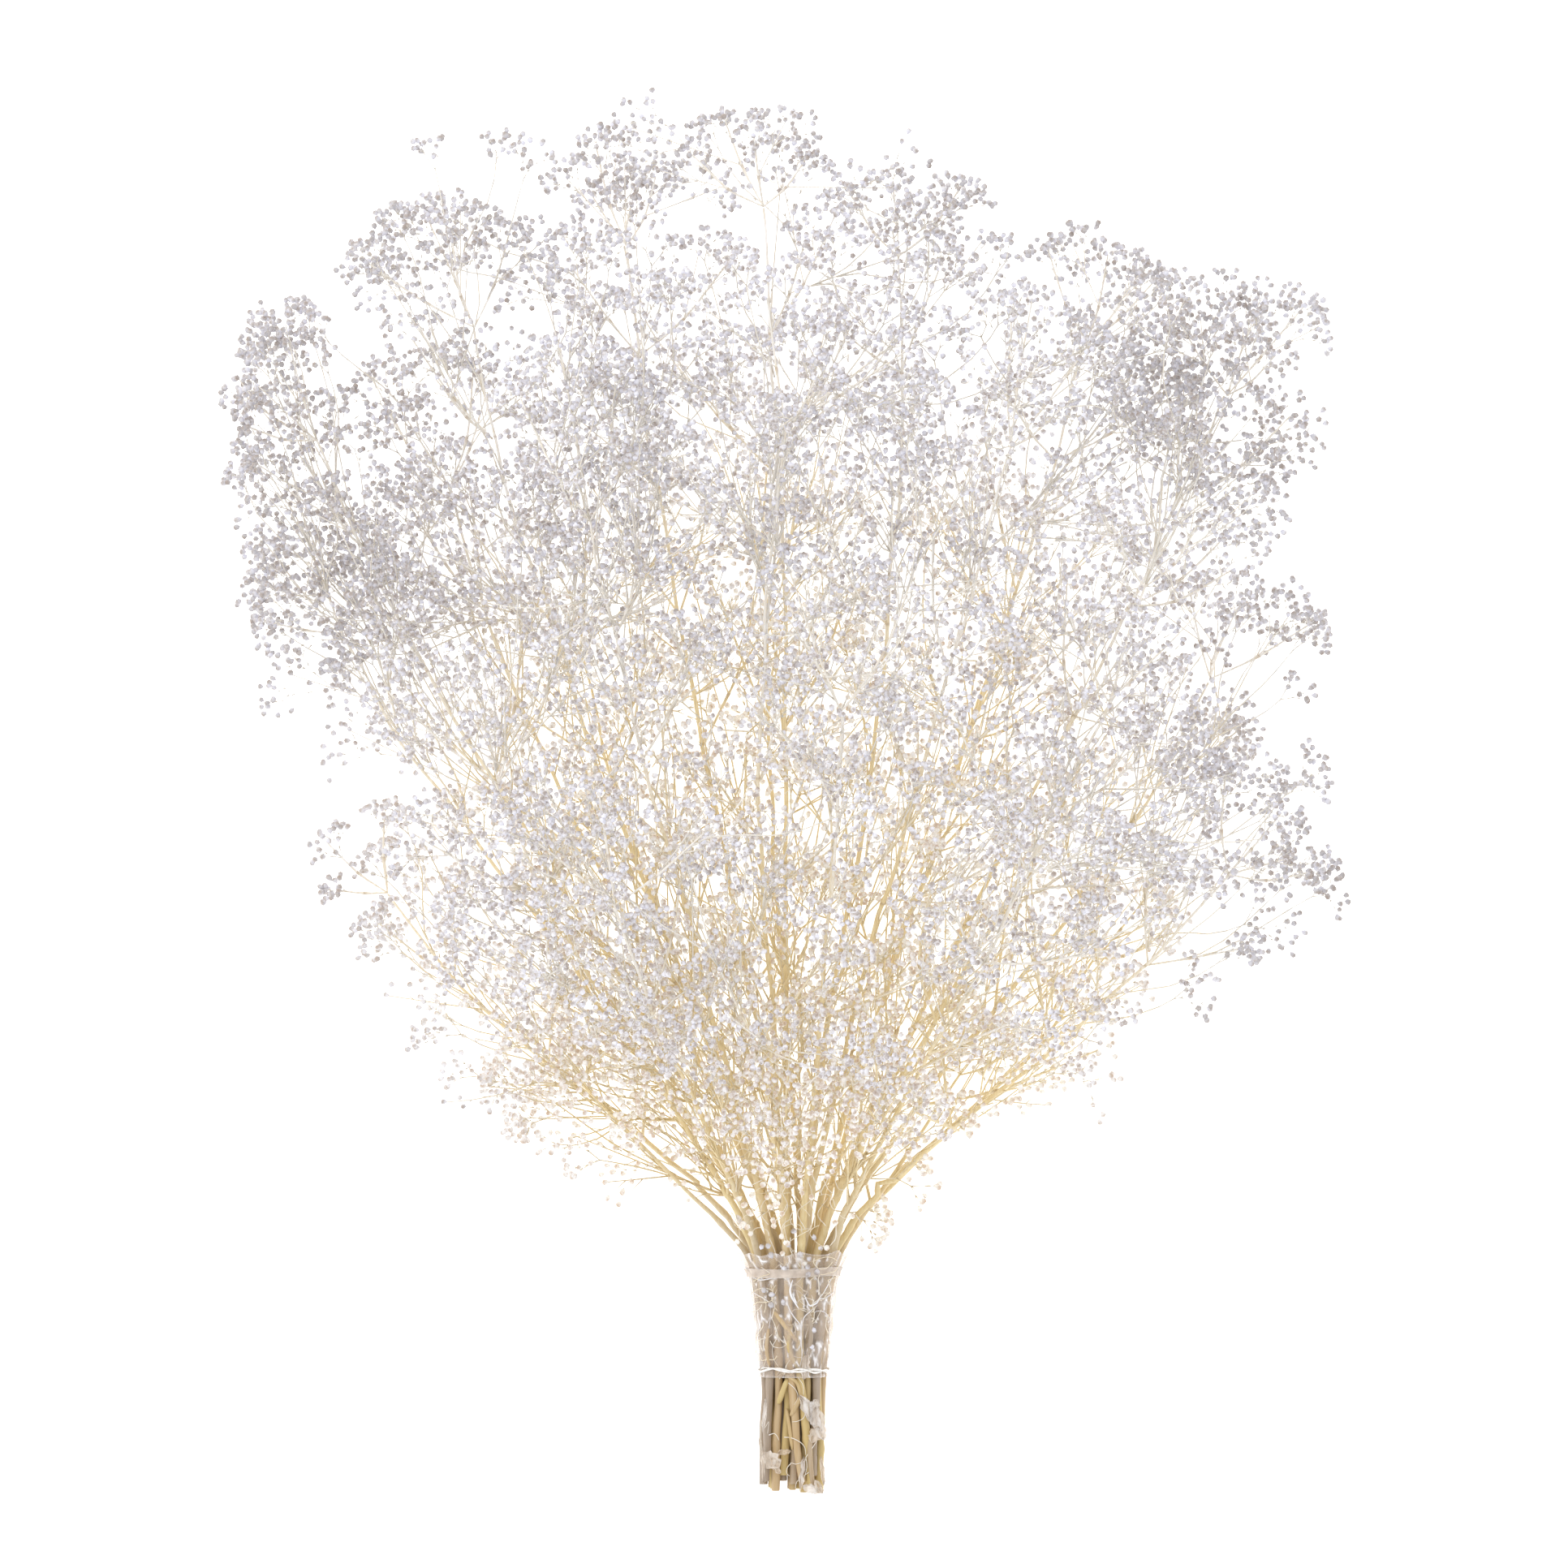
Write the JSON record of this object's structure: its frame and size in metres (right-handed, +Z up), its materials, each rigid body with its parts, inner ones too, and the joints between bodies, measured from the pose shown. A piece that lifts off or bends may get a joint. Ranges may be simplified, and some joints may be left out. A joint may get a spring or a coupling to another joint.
{
  "type": "dried flower bunch",
  "caption": "Lying bunch of dried, finely branched flower stems with tiny buds, held near their cut ends by a clear film sleeve, a tape strip and an elastic band.",
  "frame": {"origin": "on the surface that the bunch lies on, under the middle of the tape strip", "axes": "+Y from the cut ends to the flower heads, +X to the right as seen in the picture, +Z up from the surface"},
  "size_m": [0.5403, 0.6932, 0.2573],
  "materials": {
    "stem": "dry, matt straw",
    "bud": "dry, matt petal",
    "leaf": "dry, matt leaf scrap",
    "film": "clear, glossy, creased",
    "tape": "satin, milky",
    "band": "matt"
  },
  "bodies": {
    "root": {"stem_01": "stem", "stem_02": "stem", "stem_03": "stem", "stem_04": "stem", "stem_05": "stem", "stem_06": "stem", "stem_07": "stem", "stem_08": "stem", "stem_09": "stem", "stem_10": "stem", "stem_11": "stem", "stem_12": "stem", "stem_13": "stem", "stem_14": "stem", "stem_15": "stem", "stem_16": "stem", "stem_17": "stem", "stem_18": "stem", "stem_19": "stem", "stem_20": "stem", "stem_21": "stem", "stem_22": "stem", "stem_23": "stem", "stem_24": "stem", "stem_25": "stem", "stem_26": "stem", "stem_27": "stem", "film_sleeve": "film", "tape_strip": "tape", "elastic_band": "band"}
  },
  "joints": []
}
